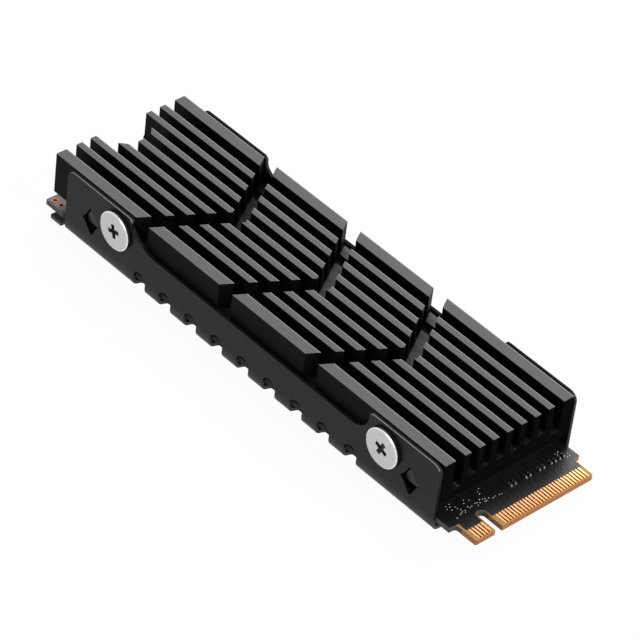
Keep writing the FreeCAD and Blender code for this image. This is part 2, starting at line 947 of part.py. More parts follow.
def make_chips():
    """Everything soldered to the board's upper face, as a list of named pieces."""
    columns = [
        dim.bulk_length,
        dim.flash_length,
        dim.resistor_width,
        dim.flash_length,
        dim.memory_length,
        dim.capacitor_width,
        dim.controller_side,
        dim.inductor_length,
    ]
    bulk, flash_1, resistor, flash_2, memory, capacitor, controller, power = spread(
        dim.clamp_start + pad_start, pad_length, columns
    )
    supply = [dim.switch_side, *[dim.inductor_width] * 3, dim.power_chip_side]
    switch_row, *inductor_rows, power_row = spread(-pad_half_width, 2 * pad_half_width, supply)
    beside = dim.memory_width / 2 + dim.crystal_gap
    return [
        row_of_boxes(
            "controller_chip",
            (dim.controller_side, dim.controller_side, dim.controller_height),
            [(controller, ZERO)],
        ),
        row_of_boxes(
            "memory_chip",
            (dim.memory_length, dim.memory_width, dim.memory_height),
            [(memory, ZERO)],
        ),
        row_of_boxes(
            "flash_chips",
            (dim.flash_length, dim.flash_width, dim.flash_height),
            [(flash_1, ZERO), (flash_2, ZERO)],
        ),
        row_of_boxes(
            "power_chip",
            (dim.power_chip_side, dim.power_chip_side, dim.power_chip_height),
            [(power, power_row)],
        ),
        row_of_boxes(
            "power_inductors",
            (dim.inductor_length, dim.inductor_width, dim.inductor_height),
            [(power, row) for row in inductor_rows],
        ),
        row_of_boxes(
            "clock_crystal",
            (dim.crystal_length, dim.crystal_width, dim.crystal_height),
            [(memory, -beside - dim.crystal_width / 2)],
        ),
        row_of_boxes(
            "bulk_capacitors",
            (dim.bulk_length, dim.bulk_width, dim.bulk_height),
            [(bulk, row) for row in across(dim.bulk_width, 4)],
        ),
        row_of_boxes(
            "load_switches",
            (dim.switch_side, dim.switch_side, dim.switch_height),
            [(power, switch_row), (memory, beside + dim.switch_side / 2)],
        ),
        row_of_boxes(
            "chip_capacitors",
            (dim.capacitor_width, dim.capacitor_length, dim.capacitor_height),
            [(capacitor, row) for row in across(dim.capacitor_length, 9)],
        ),
        row_of_boxes(
            "chip_resistors",
            (dim.resistor_width, dim.resistor_length, dim.resistor_height),
            [(resistor, row) for row in across(dim.resistor_length, 7)],
        ),
    ]


def make_coupling_capacitors():
    """Pairs of small capacitors behind the contacts, one pair for each signal lane."""
    along = dim.board_length - dim.coupling_setback
    places = []
    for lane in LANE_PLACES:
        for aside in (-dim.coupling_gap / 2, dim.coupling_gap / 2):
            places.append((along, contact_row(lane) + aside))
    size = (dim.coupling_length, dim.coupling_width, dim.coupling_height)
    return row_of_boxes("coupling_capacitors", size, places)


# Thermal pads


def pad_box(name, thickness, height):
    """A pad in the clamp, from just past the notch to short of the far end."""
    middle = clamp_origin + pad_start + pad_length / 2
    return box(name, pad_length, pad_half_width * 2, thickness, middle, ZERO, height)


def make_upper_pad(chips):
    """The upper pad, pressed over whatever stands higher than its underside."""
    blank = pad_box("upper_pad_blank", dim.upper_pad_thickness, board_top + dim.part_headroom)
    return cut("upper_thermal_pad", blank, group("pad_pockets", chips))


chips = make_chips()
nodes = [
    make_heatsink_block(),
    make_bottom_tray(),
    make_side_screws(),
    make_circuit_board(),
    make_contacts("top_contacts", TOP_CONTACTS, 0, board_top),
    make_contacts("bottom_contacts", BOTTOM_CONTACTS, LOWER_SHIFT, board_base - dim.copper_thickness),
    make_mounting_pads(),
    make_corner_test_pads(),
    make_coupling_capacitors(),
    make_upper_pad(chips),
    pad_box("lower_thermal_pad", dim.lower_pad_thickness, dim.sheet),
    *chips,
]

doc.recompute()

failed = [item.Name for item in doc.Objects if {"Invalid", "Error"} & set(item.State)]
if failed:
    raise RuntimeError(f"these objects could not be built: {failed}")
for node in nodes:
    if node.Shape.isNull() or not node.Shape.isValid() or not node.Shape.Solids:
        raise RuntimeError(f"{node.Label} has no valid solid")

os.makedirs("parts", exist_ok=True)
for node in nodes:
    node.Shape.exportStep(f"parts/{node.Label}.step")
    print(node.Label, len(node.Shape.Solids), round(node.Shape.Volume, 3))
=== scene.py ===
import logging
import math
from dataclasses import dataclass
from enum import Enum
from typing import Sequence

import bmesh
import bpy
from mathutils import Euler, Matrix, Vector


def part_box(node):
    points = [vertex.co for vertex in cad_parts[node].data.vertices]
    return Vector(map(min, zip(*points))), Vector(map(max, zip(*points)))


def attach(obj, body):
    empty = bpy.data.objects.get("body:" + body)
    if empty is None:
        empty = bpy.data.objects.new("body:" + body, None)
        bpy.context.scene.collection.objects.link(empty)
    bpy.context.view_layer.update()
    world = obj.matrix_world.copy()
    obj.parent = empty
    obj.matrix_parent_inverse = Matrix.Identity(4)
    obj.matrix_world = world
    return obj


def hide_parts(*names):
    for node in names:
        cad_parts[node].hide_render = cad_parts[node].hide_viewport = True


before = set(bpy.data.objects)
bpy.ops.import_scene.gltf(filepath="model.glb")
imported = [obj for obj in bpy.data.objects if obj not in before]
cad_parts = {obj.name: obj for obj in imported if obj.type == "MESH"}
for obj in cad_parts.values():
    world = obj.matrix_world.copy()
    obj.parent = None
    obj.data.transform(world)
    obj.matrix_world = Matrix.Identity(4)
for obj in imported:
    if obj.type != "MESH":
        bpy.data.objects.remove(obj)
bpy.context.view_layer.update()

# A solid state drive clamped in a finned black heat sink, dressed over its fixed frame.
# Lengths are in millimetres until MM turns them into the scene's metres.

MM = 0.001
BODY = "root"
# Points of a CAD mesh that lie closer than this, in metres, are one point
MERGE_M = 1e-7
# An edge that turns by more than this is a sharp edge of the real piece
SHARP_RAD = math.radians(35)
# Faces that meet at less than this are one flat face
FLAT_RAD = math.radians(0.5)
LOG = logging.getLogger("ssd_heat_sink")

Point = tuple[float, float]
Triple = tuple[float, float, float]
Bounds = Sequence[Point]
Tree = bpy.types.NodeTree
Node = bpy.types.Node
Socket = bpy.types.NodeSocket
Material = bpy.types.Material
Item = bpy.types.Object
Mesh = bpy.types.Mesh
Work = bmesh.types.BMesh


def linear(colour: str) -> tuple[float, float, float, float]:
    """Turn an sRGB hex colour into linear light.

    Args:
        colour: six hex digits after a hash sign.

    Returns:
        Red, green, blue and an alpha of one.
    """
    shares = [int(colour[i : i + 2], 16) / 255 for i in (1, 3, 5)]
    light = [s / 12.92 if s <= 0.04045 else ((s + 0.055) / 1.055) ** 2.4 for s in shares]
    return light[0], light[1], light[2], 1.0


def add_node(tree: Tree, kind: str, inputs: dict | None = None, **settings) -> Node:
    """Add one node with its settings, values and links.

    Args:
        tree: the node tree to add to.
        kind: the node's type name, without the ShaderNode that it starts with.
        inputs: socket name or number to a value, or to the output that feeds it.
        **settings: attributes of the node.

    Returns:
        The new node.
    """
    node = tree.nodes.new("ShaderNode" + kind)
    for name, value in settings.items():
        setattr(node, name, value)
    for name, value in (inputs or {}).items():
        if isinstance(value, Socket):
            tree.links.new(value, node.inputs[name])
        else:
            node.inputs[name].default_value = value
    return node


def new_material(name: str) -> tuple[Material, Tree]:
    """Make an empty node material.

    Args:
        name: the material's name.

    Returns:
        The material and its node tree.
    """
    material = bpy.data.materials.new(name)
    material.use_nodes = True
    material.node_tree.nodes.clear()
    return material, material.node_tree


def split(tree: Tree, kind: str, output: str) -> tuple[Socket, Node]:
    """Add a node that tells the place or the facing, and split that along X, Y and Z.

    Args:
        tree: the node tree to add to.
        kind: the node's type name, as add_node takes it.
        output: the name of its output.

    Returns:
        The output, and the node that splits it.
    """
    told = add_node(tree, kind).outputs[output]
    return told, add_node(tree, "SeparateXYZ", {"Vector": told})


def inside(tree: Tree, axes: Node, boxes: Sequence[Bounds]) -> Socket:
    """Tell which points lie in one of several boxes.

    Args:
        tree: the node tree to add to.
        axes: a node that gives the object's X, Y and Z.
        boxes: for each box its low and high end along X, Y and, where it matters, Z, in
            millimetres.

    Returns:
        An output that is one inside a box and zero elsewhere.
    """
    total = None
    for box in boxes:
        share = None
        for axis, (low, high) in enumerate(box):
            reach = {0: axes.outputs[axis], 1: (low + high) / 2 * MM, 2: (high - low) / 2 * MM}
            near = add_node(tree, "Math", reach, operation="COMPARE").outputs[0]
            if share is not None:
                both = {0: share, 1: near}
                near = add_node(tree, "Math", both, operation="MULTIPLY").outputs[0]
            share = near
        if total is not None:
            either = {0: total, 1: share}
            share = add_node(tree, "Math", either, operation="MAXIMUM").outputs[0]
        total = share
    return total


def painted(tree: Tree, base: Socket | Sequence, coats: Sequence[tuple[Socket, str]]) -> Socket:
    """Lay coats of colour over a base, each over the part of the surface that it covers.

    Args:
        tree: the node tree to add to.
        base: the colour under the coats.
        coats: each coat's cover, from zero to one, and its hex colour, from the lowest up.

    Returns:
        The colour that shows.
    """
    for cover, colour in coats:
        layers = {"Factor": cover, 6: base, 7: linear(colour)}
        base = add_node(tree, "Mix", layers, data_type="RGBA").outputs[2]
    return base


def speckled(
    tree: Tree, grain: Socket, colour: Socket | Sequence, spread: float, most: float = 1.0
) -> Socket:
    """Vary a colour a little with a grain.

    Args:
        tree: the node tree to add to.
        grain: the grain's height, from zero up.
        colour: the colour at the grain's middle height.
        spread: the share by which the lowest grain darkens it and the highest lightens it.
        most: the grain's greatest height.

    Returns:
        The varied colour.
    """
    ends = {"Value": grain, "From Max": most, "To Min": 1 - spread, "To Max": 1 + spread}
    shade = add_node(tree, "MapRange", ends)
    scaled = {0: colour, "Scale": shade.outputs[0]}
    return add_node(tree, "VectorMath", scaled, operation="SCALE").outputs[0]


def surfaced(material: Material, inputs: dict, relief: tuple | None = None) -> Material:
    """Close a material with its one surface, over a fine relief where it has one.

    Args:
        material: the material.
        inputs: the surface's inputs, as add_node takes them.
        relief: the relief's height, its strength and its rise in millimetres.

    Returns:
        The material.
    """
    tree = material.node_tree
    if relief:
        height, strength, rise_mm = relief
        rise = {"Height": height, "Strength": strength, "Distance": rise_mm * MM}
        inputs = {**inputs, "Normal": add_node(tree, "Bump", rise).outputs[0]}
    shader = add_node(tree, "BsdfPrincipled", inputs)
    add_node(tree, "OutputMaterial", {"Surface": shader.outputs[0]})
    return material


# Finishes


@dataclass(frozen=True)
class BlackAnodisedAluminium:
    """Extruded 6063 aluminium, bead blasted and black anodised.

    The dye leaves the flanks near black. Faces that look up carry painted light from above, a dark
    grey, and the fin tops a paler grey of painted light, with a painted highlight along each far
    edge; fine lines run along the extrusion. The floors of the gaps stay darker, and the slot
    floors carry painted light and shade.
    """

    dye: str = "#080808"
    # Painted light from above: faces that look up take the first grey, the fin tops above the
    # height below the paler second grey
    painted_top_light: str = "#1f1f20"
    painted_top_sheen: str = "#606061"
    painted_top_sheen_from_mm: float = 9.9
    # A painted highlight: a pale line along each fin top's far edge
    painted_arris_highlight: str = "#8c8c8d"
    painted_arris_highlight_mm: float = 0.13
    far_edges_mm: tuple[float, ...] = (
        -9.1, *(2.34 * place + 0.485 for place in range(-3, 4)), 10.8
    )
    # Painted light and shade on the slot floors: the far arms painted paler as lit, the first
    # slot's floor less, as shaded. X, Y and Z of each floor and its colour
    painted_slot_floor_light: tuple[tuple[Bounds, str], ...] = (
        (((-22.0, -14.0), (0.0, 7.6), (6.3, 6.41)), "#2e2e2f"),
        (((-7.0, 18.0), (0.0, 7.6), (6.3, 6.41)), "#585859"),
        (((-9.0, 18.0), (9.0, 11.0), (6.3, 6.41)), "#666667"),
    )
    roughness: float = 0.5
    specular: float = 0.035
    blast_grain_mm: float = 0.12
    die_line_mm: float = 0.09
    # Die lines run along X, so their noise is stretched that way
    die_line_stretch: Triple = (0.02, 1.0, 1.0)
    tint: float = 0.15
    relief_mm: float = 0.01

    def material(self) -> Material:
        """Build the finish: dye, painted light and highlights, blast grain and die lines.

        Returns:
            The material.
        """
        material, tree = new_material("black_anodised_aluminium")
        spot, axes = split(tree, "TexCoord", "Object")
        _, normal = split(tree, "NewGeometry", "True Normal")
        along = add_node(tree, "Mapping", {"Vector": spot, "Scale": self.die_line_stretch})
        fine = {"Vector": along.outputs[0], "Scale": 1 / (self.die_line_mm * MM), "Detail": 3.0}
        lines = add_node(tree, "TexNoise", fine)
        fine = {"Vector": spot, "Scale": 1 / (self.blast_grain_mm * MM), "Detail": 2.0}
        grain = add_node(tree, "TexNoise", fine)
        both = {0: lines.outputs["Fac"], 1: grain.outputs["Fac"]}
        relief = add_node(tree, "Math", both, operation="ADD").outputs[0]
        tilt = {"Value": normal.outputs["Z"], "From Min": 0.3, "From Max": 0.9}
        painted_top_light = add_node(tree, "MapRange", tilt).outputs[0]
        # Painted light on faces that look up, and painted light and shade on the slot floors
        coats = [(painted_top_light, self.painted_top_light)]
        for floor, pale in self.painted_slot_floor_light:
            shown = {0: inside(tree, axes, (floor,)), 1: painted_top_light}
            cover = add_node(tree, "Math", shown, operation="MULTIPLY")
            coats.append((cover.outputs[0], pale))
        dyed = painted(tree, linear(self.dye), coats)
        # Painted light on the fin tops: a paler grey, with a painted highlight along each far edge
        level = {0: axes.outputs["Z"], 1: self.painted_top_sheen_from_mm * MM}
        high = add_node(tree, "Math", level, operation="GREATER_THAN")
        shown = {0: high.outputs[0], 1: painted_top_light}
        on_top = add_node(tree, "Math", shown, operation="MULTIPLY")
        stripes = [((-45.0, 45.0), (edge - self.painted_arris_highlight_mm, edge)) for edge in self.far_edges_mm]
        tops = painted(tree, linear(self.painted_top_sheen), [(inside(tree, axes, stripes), self.painted_arris_highlight)])
        layers = {"Factor": on_top.outputs[0], 6: dyed, 7: tops}
        worked = add_node(tree, "Mix", layers, data_type="RGBA").outputs[2]
        surface = {
            "Base Color": speckled(tree, relief, worked, self.tint, 2.0),
            "Roughness": self.roughness,
            "Specular IOR Level": self.specular,
        }
        return surfaced(material, surface, (relief, 0.25, self.relief_mm))


@dataclass(frozen=True)
class GrainedFinish:
    """A plain finish with a fine grain: what most of the smaller pieces have.

    The grain tints the colour a little and roughens the highlight, as a sprayed coat, a moulded
    resin or a plated metal does.
    """

    name: str
    colour: str
    roughness: float
    grain_mm: float
    metallic: float = 0.0
    specular: float = 0.5
    tint: float = 0.06
    relief_mm: float = 0.004
    roughness_spread: float = 0.05

    def material(self) -> Material:
        """Build the finish from one noise that drives colour, roughness and bump.

        Returns:
            The material.
        """
        material, tree = new_material(self.name)
        spot = add_node(tree, "TexCoord").outputs["Object"]
        fine = {"Vector": spot, "Scale": 1 / (self.grain_mm * MM), "Detail": 3.0}
        grain = add_node(tree, "TexNoise", fine).outputs["Fac"]
        low, high = self.roughness - self.roughness_spread, self.roughness + self.roughness_spread
        shares = {"Value": grain, "To Min": low, "To Max": high}
        surface = {
            "Base Color": speckled(tree, grain, linear(self.colour)[:3], self.tint),
            "Roughness": add_node(tree, "MapRange", shares).outputs[0],
            "Metallic": self.metallic,
            "Specular IOR Level": self.specular,
        }
        return surfaced(material, surface, (grain, 0.3, self.relief_mm))


@dataclass(frozen=True)
class SatinCoatedSteel:
    """Satin black powder coat on cold rolled steel, sprayed before the sheet was folded.

    The coat is an even near black with a soft sheen. Low on the walls and over the folds it is
    painted greyer, a painted reflection of the white floor, and the sheared edges that look up are
    dull.
    """

    coat: str = "#0a0a0a"
    # Painted reflection of the white floor: greyer towards the bottom and over the folds
    painted_floor_reflection: str = "#565656"
    fold_top_mm: float = 2.6
    fold_base_mm: float = 0.3
    roughness: float = 0.4
    sheared_roughness: float = 0.9
    specular: float = 0.14
    grain_mm: float = 0.15
    tint: float = 0.1
    relief_mm: float = 0.004

    def material(self) -> Material:
        """Build the finish: coat, painted floor reflection, dull sheared edges and orange-peel
        grain.

        Returns:
            The material.
        """
        material, tree = new_material("satin_black_coated_steel")
        spot, axes = split(tree, "TexCoord", "Object")
        _, normal = split(tree, "NewGeometry", "True Normal")
        top, base = self.fold_top_mm * MM, self.fold_base_mm * MM
        fold = {"Value": axes.outputs["Z"], "From Min": top, "From Max": base}
        low = add_node(tree, "MapRange", fold)
        eased = add_node(tree, "Math", {0: low.outputs[0], 1: 2.0}, operation="POWER")
        # The painted reflection leaves out the flat underside, which looks down
        tilt = {"Value": normal.outputs["Z"], "From Min": -0.95, "From Max": -0.75}
        not_underside = add_node(tree, "MapRange", tilt)
        both = {0: eased.outputs[0], 1: not_underside.outputs[0]}
        floor_reflection_cover = add_node(tree, "Math", both, operation="MULTIPLY")
        # Painted reflection: greyer low on the walls and over the folds
        colour = painted(tree, linear(self.coat), [(floor_reflection_cover.outputs[0], self.painted_floor_reflection)])
        fine = {"Vector": spot, "Scale": 1 / (self.grain_mm * MM), "Detail": 3.0}
        grain = add_node(tree, "TexNoise", fine).outputs["Fac"]
        shares = {
            "Value": normal.outputs["Z"],
            "From Min": 0.8,
            "From Max": 0.95,
            "To Min": self.roughness,
            "To Max": self.sheared_roughness,
        }
        surface = {
            "Base Color": speckled(tree, grain, colour, self.tint),
            "Roughness": add_node(tree, "MapRange", shares).outputs[0],
            "Specular IOR Level": self.specular,
        }
        return surfaced(material, surface, (grain, 0.3, self.relief_mm))


@dataclass(frozen=True)
class MaskedLaminate:
    """Glass laminate under black solder mask, bare around the contacts and at the sawn tongue.

    The mask is a smooth black lacquer over faint copper relief. The bare laminate is a warm
    brown, with painted shade in the thin gaps between the contacts, and darker where the mask has
    crept over the key notch's rim. The long edges were coated with the mask and look a dull dark
    olive; between the tray's walls they carry painted shade, near black. At the mounting end the
    mask is painted a warmer brown.
    """

    mask: str = "#0d0d0d"
    over_copper: str = "#191918"
    mounting_end_mask: str = "#38291d"
    laminate: str = "#ad8c5c"
    sawn: str = "#8e5c34"
    rim: str = "#6e5236"
    # Painted shade in the thin gaps between the contacts
    painted_gap_shade: str = "#4c2109"
    coated_edge: str = "#45423b"
    # Painted shade: the long edges between the tray's walls, near black
    painted_shade_edge: str = "#0f0e0d"
    mask_roughness: float = 0.36
    bare_roughness: float = 0.8
    specular: float = 0.3
    fibre_mm: float = 0.2
    fibre_tint: float = 0.3
    trace_mm: float = 0.35
    # The traces fan out a little towards positive Y as they leave the contacts
    trace_lean: float = 0.12
    trace_rise_mm: float = 0.02
    # The mask has crept this far over the rim of the key notch
    key_centre_mm: Triple = (37.1, -6.125, 2.15)
    key_radius_mm: float = 0.6
    key_rim_mm: float = 0.24
    # X and Y of each region, from the board's own outline and contact rows
    tongue: Bounds = ((37.95, 41.0), (-12.0, 12.0))
    side_margin: Bounds = ((36.6, 41.0), (-10.5, -9.62))
    key_sides: Bounds = ((37.1, 37.95), (-6.965, -5.285))
    contact_rows: tuple[Bounds, ...] = (
        ((37.86, 39.85), (-4.93, 9.43)),
        ((37.86, 39.85), (-9.43, -7.07)),
    )
    # Between the tray's walls the long edges are painted near black, a painted shade
    clamped: Bounds = ((-36.6, 34.2), (-12.0, 12.0))
    # At the mounting end the mask is painted a warmer brown
    mounting_end: Bounds = ((-41.0, -36.6), (-12.0, 12.0))
    sawn_ends: tuple[Bounds, ...] = (
        ((37.6, 41.0), (-12.0, 12.0)),
        ((35.5, 37.6), (9.0, 12.0)),
        ((-41.0, -39.75), (-12.0, 12.0)),
    )

    def traces(self, tree: Tree, axes: Node) -> Socket:
        """Follow the copper traces, which run along the board from each contact.

        Args:
            tree: the node tree to add to.
            axes: a node that gives the object's X, Y and Z.

        Returns:
            A height that is high over a trace and low between traces.
        """
        slant = {0: axes.outputs["X"], 1: self.trace_lean, 2: axes.outputs["Y"]}
        lean = add_node(tree, "Math", slant, operation="MULTIPLY_ADD")
        across = add_node(tree, "CombineXYZ", {"Y": lean.outputs[0]})
        fine = {"Vector": across.outputs[0], "Scale": 1 / (self.trace_mm * MM), "Detail": 1.0}
        lines = add_node(tree, "TexNoise", fine)
        edges = {"Value": lines.outputs["Fac"], "From Min": 0.42, "From Max": 0.58}
        return add_node(tree, "MapRange", edges).outputs[0]

    def near_key_round(self, tree: Tree, spot: Socket) -> Socket:
        """Tell which points lie on the rim of the key notch's round inner end.

        Args:
            tree: the node tree to add to.
            spot: the point's place on the object.

        Returns:
            An output that is one on the rim and zero elsewhere.
        """
        ends = {0: spot, 1: [c * MM for c in self.key_centre_mm]}
        away = add_node(tree, "VectorMath", ends, operation="DISTANCE").outputs["Value"]
        middle = self.key_radius_mm + self.key_rim_mm / 2
        band = {0: away, 1: middle * MM, 2: self.key_rim_mm / 2 * MM}
        return add_node(tree, "Math", band, operation="COMPARE").outputs[0]

    def material(self) -> Material:
        """Build the finish: mask with trace relief, bare laminate and edges by region.

        Returns:
            The material.
        """
        material, tree = new_material("black_solder_mask_on_laminate")
        spot, axes = split(tree, "TexCoord", "Object")
        _, normal = split(tree, "NewGeometry", "True Normal")
        steep = add_node(tree, "Math", {0: normal.outputs["Z"]}, operation="ABSOLUTE")
        upright = {0: steep.outputs[0], 1: 0.6}
        is_side = add_node(tree, "Math", upright, operation="LESS_THAN").outputs[0]
        rims = {0: self.near_key_round(tree, spot), 1: inside(tree, axes, (self.key_sides,))}
        rim = add_node(tree, "Math", rims, operation="MAXIMUM").outputs[0]
        bare = inside(tree, axes, (self.tongue, self.side_margin))
        traces = self.traces(tree, axes)
        flat = painted(
            tree,
            linear(self.mask),
            (
                (traces, self.over_copper),
                (inside(tree, axes, (self.mounting_end,)), self.mounting_end_mask),
                (rim, self.rim),
                (bare, self.laminate),
                # Painted shade in the gaps between the contacts
                (inside(tree, axes, self.contact_rows), self.painted_gap_shade),
            ),
        )
        sides = painted(
            tree,
            linear(self.coated_edge),
            (
                # Painted shade on the long edges between the tray's walls
                (inside(tree, axes, (self.clamped,)), self.painted_shade_edge),
                (inside(tree, axes, self.sawn_ends), self.sawn),
            ),
        )
        layers = {"Factor": is_side, 6: flat, 7: sides}
        colour = add_node(tree, "Mix", layers, data_type="RGBA").outputs[2]
        fine = {"Vector": spot, "Scale": 1 / (self.fibre_mm * MM), "Detail": 4.0}
        fibre = add_node(tree, "TexNoise", fine).outputs["Fac"]
        uncoated = add_node(tree, "Math", {0: bare, 1: is_side}, operation="MAXIMUM")
        shares = {
            "Value": uncoated.outputs[0],
            "To Min": self.mask_roughness,
            "To Max": self.bare_roughness,
        }
        surface = {
            "Base Color": speckled(tree, fibre, colour, self.fibre_tint),
            "Roughness": add_node(tree, "MapRange", shares).outputs[0],
            "Specular IOR Level": self.specular,
        }
        # Copper under the mask shows as soft ridges along the board
        return surfaced(material, surface, (traces, 0.5, self.trace_rise_mm))


@dataclass(frozen=True)
class GoldPlate:
    """Hard gold over nickel on the card's contacts.

    It is pale and bright at the inner ends and warmer towards the board's edge.
    """

    inner: str = "#efb988"
    outer: str = "#d48c50"
    inner_x_mm: float = 38.2
    outer_x_mm: float = 39.85
    wear_mm: float = 0.15
    roughness: float = 0.5
    roughness_spread: float = 0.06

    def material(self) -> Material:
        """Build the finish: one metal whose colour warms along X.

        Returns:
            The material.
        """
        material, tree = new_material("hard_gold_plate")
        spot, axes = split(tree, "TexCoord", "Object")
        near, far = self.inner_x_mm * MM, self.outer_x_mm * MM
        run = {"Value": axes.outputs["X"], "From Min": near, "From Max": far}
        along = add_node(tree, "MapRange", run).outputs[0]
        fine = {"Vector": spot, "Scale": 1 / (self.wear_mm * MM), "Detail": 3.0}
        wear = add_node(tree, "TexNoise", fine).outputs["Fac"]
        low, high = self.roughness - self.roughness_spread, self.roughness + self.roughness_spread
        shares = {"Value": wear, "To Min": low, "To Max": high}
        surface = {
            "Base Color": painted(tree, linear(self.inner), [(along, self.outer)]),
            "Metallic": 1.0,
            "Roughness": add_node(tree, "MapRange", shares).outputs[0],
        }
        return surfaced(material, surface)


class Finish(Enum):
    """The finishes of the drive and its heat sink, by the record's material slots."""

    ANODISED = BlackAnodisedAluminium()
    COATED_SHEET = SatinCoatedSteel()
    # Painted highlight: a pale steel grey along the outer upper edge of the ears
    EDGE_HIGHLIGHT = GrainedFinish("painted_highlight_steel", "#787878", 0.5, 0.2, metallic=0.3, tint=0.1)
    # The chamfer round a screw's head was turned bright before plating and mirrors the room
    BRIGHT_RIM = GrainedFinish(
        "bright_turned_nickel", "#dcdcdc", 0.2, 0.25, metallic=1.0, tint=0.03, relief_mm=0.001
    )
    # Nickel plate over a stamped wafer head: a light even grey with a soft sheen
    NICKEL = GrainedFinish(
        "nickel_plated_steel", "#bdbdbd", 0.36, 0.25, metallic=1.0, tint=0.03, relief_mm=0.001
    )
    # Saw-cut ends of the extrusion: dyed a matt black that shines less than the drawn flanks
    SAWN_END = GrainedFinish("dyed_sawn_aluminium", "#090909", 0.8, 0.1, specular=0.0, tint=0.2)
    # Painted glints: bright strips at the foot of each fin by the sawn end
    PAINTED_GLINT = GrainedFinish("painted_glint_aluminium", "#6c6c6c", 0.7, 0.1, specular=0.1, tint=0.2)
    # Painted shade: near black steel in the cross recess and round the head's side
    PAINTED_SHADE = GrainedFinish("painted_shade_steel", "#161616", 0.5, 0.1, specular=0.3)
    BOARD = MaskedLaminate()
    GOLD = GoldPlate()
    # Copper under a thin tin wash, tarnished pink at the bare corner rings
    TINNED = GrainedFinish(
        "tarnished_copper", "#b98373", 0.7, 0.2, specular=0.2, tint=0.15, relief_mm=0.002
    )
    # Red-brown resin that plugs the corner test holes, cured dull and a little uneven
    PLUG = GrainedFinish("red_brown_hole_resin", "#7c2417", 0.7, 0.15, specular=0.1, tint=0.2)
    # The same resin, darker, in the second hole
    DARKER_PLUG = GrainedFinish("darker_hole_resin", "#3a100d", 0.7, 0.15, specular=0.1, tint=0.2)
    # Silicone pad filled with ceramic powder: matt grey and soft
    PAD = GrainedFinish("filled_silicone_pad", "#8e9094", 0.8, 0.25, specular=0.3, tint=0.1)
    # Moulded epoxy with a fine spark-eroded grain
    RESIN = GrainedFinish("moulded_black_resin", "#18181a", 0.6, 0.12, tint=0.12)
    # Pressed ferrite powder
    FERRITE = GrainedFinish("pressed_ferrite", "#3a3a3d", 0.7, 0.15, tint=0.12)
    # Drawn metal can of the clock crystal
    CAN = GrainedFinish("drawn_nickel_can", "#b8b5ac", 0.3, 0.3, metallic=1.0)
    # Fired ceramic body of a chip capacitor
    CERAMIC = GrainedFinish("fired_ceramic", "#1d1a17", 0.5, 0.1, tint=0.1)
    # Glazed thick film of a chip resistor
    GLAZE = GrainedFinish("glazed_film", "#101012", 0.3, 0.2)
    # Reflowed solder
    SOLDER = GrainedFinish("reflowed_solder", "#d8d8d6", 0.35, 0.1, metallic=0.5, tint=0.05)


MADE: dict[Finish, Material] = {}


def finish_material(finish: Finish) -> Material:
    """Make a finish's material once.

    Args:
        finish: the finish.

    Returns:
        Its material.
    """
    if finish not in MADE:
        MADE[finish] = finish.value.material()
    return MADE[finish]


# Pieces and meshes


def placed(name: str, data: bpy.types.ID) -> Item:
    """Put something in the scene.

    Args:
        name: the new object's name.
        data: its mesh, lamp or camera.

    Returns:
        The object.
    """
    item = bpy.data.objects.new(name, data)
    bpy.context.scene.collection.objects.link(item)
    return item


def put(name: str, mesh: Mesh, slot: str, *finishes: Finish) -> Item:
    """Place a new piece in the scene, on the drive's body.

    Args:
        name: the piece's name.
        mesh: its mesh, in metres in the row's frame.
        slot: the record's material slot; not used.
        *finishes: its finishes, in the order of the mesh's material numbers.

    Returns:
        The piece.
    """
    numbers = [face.material_index for face in mesh.polygons]
    mesh.materials.clear()
    for finish in finishes:
        mesh.materials.append(finish_material(finish))
    for face, number in zip(mesh.polygons, numbers):
        face.material_index = min(number, len(finishes) - 1)
    piece = placed(name, mesh)
    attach(piece, BODY)
    LOG.info("%s: %d faces", name, len(mesh.polygons))
    return piece


def dress(finish: Finish, *nodes: str) -> None:
    """Give CAD nodes their finish where their shapes stay as they are.

    Args:
        finish: the finish.
        *nodes: the nodes' names.
    """
    for node in nodes:
        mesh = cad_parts[node].data
        mesh.materials.clear()
        mesh.materials.append(finish_material(finish))


def merged(node: str) -> Work:
    """Copy a CAD node's mesh to work on, with its double points merged.

    Args:
        node: the node's name.

    Returns:
        The copy.
    """
    work = bmesh.new()
    work.from_mesh(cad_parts[node].data)
    bmesh.ops.remove_doubles(work, verts=work.verts, dist=MERGE_M)
    return work


def finished(name: str, work: Work) -> Mesh:
    """Turn worked geometry into a mesh, and free it.

    Args:
        name: the mesh's name.
        work: the geometry.

    Returns:
        The mesh.
    """
    mesh = bpy.data.meshes.new(name)
    work.to_mesh(mesh)
    work.free()
    return mesh


def baked(name: str, blank: Item, *helpers: Item) -> Mesh:
    """Turn a blank and its modifiers into a plain mesh.

    Args:
        name: the mesh's name.
        blank: the blank, which is removed.
        *helpers: objects that its modifiers use, which are removed too.

    Returns:
        The mesh.
    """
    bpy.context.view_layer.update()
    shaped = blank.evaluated_get(bpy.context.evaluated_depsgraph_get())
    mesh = bpy.data.meshes.new_from_object(shaped)
    mesh.name = name
    for item in (blank, *helpers):
        bpy.data.objects.remove(item)
    return mesh


